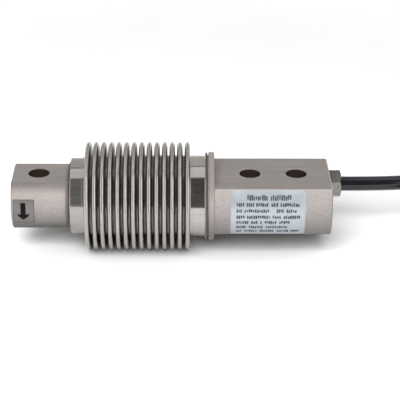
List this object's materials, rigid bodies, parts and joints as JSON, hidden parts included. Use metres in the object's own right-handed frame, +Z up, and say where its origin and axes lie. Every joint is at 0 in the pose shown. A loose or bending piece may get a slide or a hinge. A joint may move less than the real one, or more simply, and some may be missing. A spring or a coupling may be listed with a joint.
{
  "type": "weighing load cell",
  "caption": "Bending beam load cell welded shut by a metal bellows, with a flatted load end, a flatted mounting block, a side gland and a black cable.",
  "frame": {"origin": "under the middle of the load cell without its cable, on the surface that it lies on", "axes": "+X along the cell from the load end to the cable end, +Z up, the axis of the load hole and of the mounting holes along Z"},
  "size_m": [0.2881, 0.065, 0.042],
  "materials": {
    "ground_steel": "ground and brushed stainless steel",
    "turned_steel": "fine turned and polished stainless steel",
    "bellows_steel": "bright formed stainless steel",
    "plated_gland": "dulled plating",
    "washer_brass": "turned",
    "seal_rubber": "moulded",
    "cable_jacket": "satin extruded",
    "sleeve_black": "shrunk",
    "label_foil": "satin foil",
    "arrow_foil": "satin foil",
    "gauge_film": "film with etched foil",
    "board_laminate": "laminate with tinned pads",
    "resistor_body": "glazed chip",
    "tinned_wire": "tinned copper",
    "core_red": "extruded",
    "core_black": "extruded",
    "core_green": "extruded",
    "core_white": "extruded"
  },
  "bodies": {
    "root": {"spring_element": "ground_steel", "load_side_collar": "turned_steel", "mount_side_collar": "turned_steel", "bellows": "bellows_steel", "gland_body": "plated_gland", "gland_washer": "washer_brass", "gland_seal": "seal_rubber", "gland_o_ring": "seal_rubber", "cable_inner_end": "cable_jacket", "rating_label": "label_foil", "load_arrow_label": "arrow_foil", "strain_gauge_upper_load": "gauge_film", "strain_gauge_lower_load": "gauge_film", "strain_gauge_upper_mount": "gauge_film", "strain_gauge_lower_mount": "gauge_film", "terminal_board": "board_laminate", "zero_trim_resistor": "resistor_body", "span_trim_resistor": "resistor_body", "gauge_lead_wires": "tinned_wire", "inner_core_red": "core_red", "inner_core_black": "core_black", "inner_core_green": "core_green", "inner_core_white": "core_white", "cable": "cable_jacket", "cable_coil": "cable_jacket", "cable_tail": "cable_jacket", "cable_end_sleeve": "sleeve_black", "end_core_red": "core_red", "end_core_black": "core_black", "end_core_green": "core_green", "end_core_white": "core_white", "end_drain_wire": "tinned_wire"}
  },
  "joints": []
}
